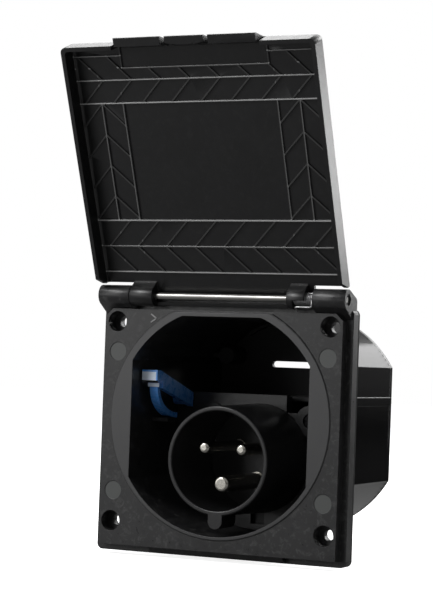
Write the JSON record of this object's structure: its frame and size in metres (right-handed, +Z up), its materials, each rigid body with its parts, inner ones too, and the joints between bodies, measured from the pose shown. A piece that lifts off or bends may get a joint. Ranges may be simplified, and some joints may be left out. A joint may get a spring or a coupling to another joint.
{
  "type": "caravan power inlet",
  "caption": "Square black flush-mounted power inlet with a sprung flap lid, a round recess with a shrouded pin contact and a blue release lever.",
  "frame": {"origin": "on the wall plane, the back of the wall gasket, at the centre line of the round recess", "axes": "+Y into the wall, -Y towards the person who plugs in, +Z up towards the hinge, +X to the right seen from outside"},
  "size_m": [0.115, 0.1427, 0.2125],
  "materials": {
    "housing_plastic": "black glass-filled plastic, fine satin grain",
    "lid_plastic": "black plastic, satin",
    "carrier_plastic": "black insulating plastic, satin",
    "lever_plastic": "blue plastic, semi-gloss",
    "gasket_rubber": "black foam rubber",
    "grommet_rubber": "black rubber",
    "rod_steel": "bright drawn stainless steel",
    "spring_steel": "spring steel wire",
    "pin_brass": "nickel-plated brass",
    "screw_steel": "zinc-plated steel",
    "clamp_plastic": "black plastic"
  },
  "bodies": {
    "housing": {"housing": "housing_plastic", "wall_gasket": "gasket_rubber", "hinge_rod": "rod_steel", "lid_spring": "spring_steel", "contact_carrier": "carrier_plastic", "carrier_screws": "screw_steel", "line_pin": "pin_brass", "neutral_pin": "pin_brass", "earth_pin": "pin_brass", "terminal_screws": "screw_steel", "pin_retainer": "clamp_plastic", "retainer_screw": "screw_steel", "rear_cover": "housing_plastic", "cover_screws": "screw_steel", "cable_grommet": "grommet_rubber", "cable_clamp": "clamp_plastic", "clamp_screws": "screw_steel", "lever_pin": "rod_steel", "lever_spring": "lever_plastic"},
    "lid": {"lid": "lid_plastic"},
    "release_lever": {"release_lever": "lever_plastic"}
  },
  "joints": [
    {"name": "lid_hinge", "type": "hinge", "parent": "housing", "child": "lid", "pos_m": [0, -0.0115, 0.0525], "axis": [1, 0, 0], "range_deg": [0, 157.5], "stiffness_Nm_per_rad": 0.02, "springref_deg": -28.65, "deforming": ["lid_spring"]},
    {"name": "lever_pivot", "type": "hinge", "parent": "housing", "child": "release_lever", "pos_m": [-0.0365, 0.0298, 0.0089], "axis": [1, 0, 0], "range_deg": [0, 7], "stiffness_Nm_per_rad": 0.15, "springref_deg": -5.73, "deforming": ["lever_spring"]}
  ]
}
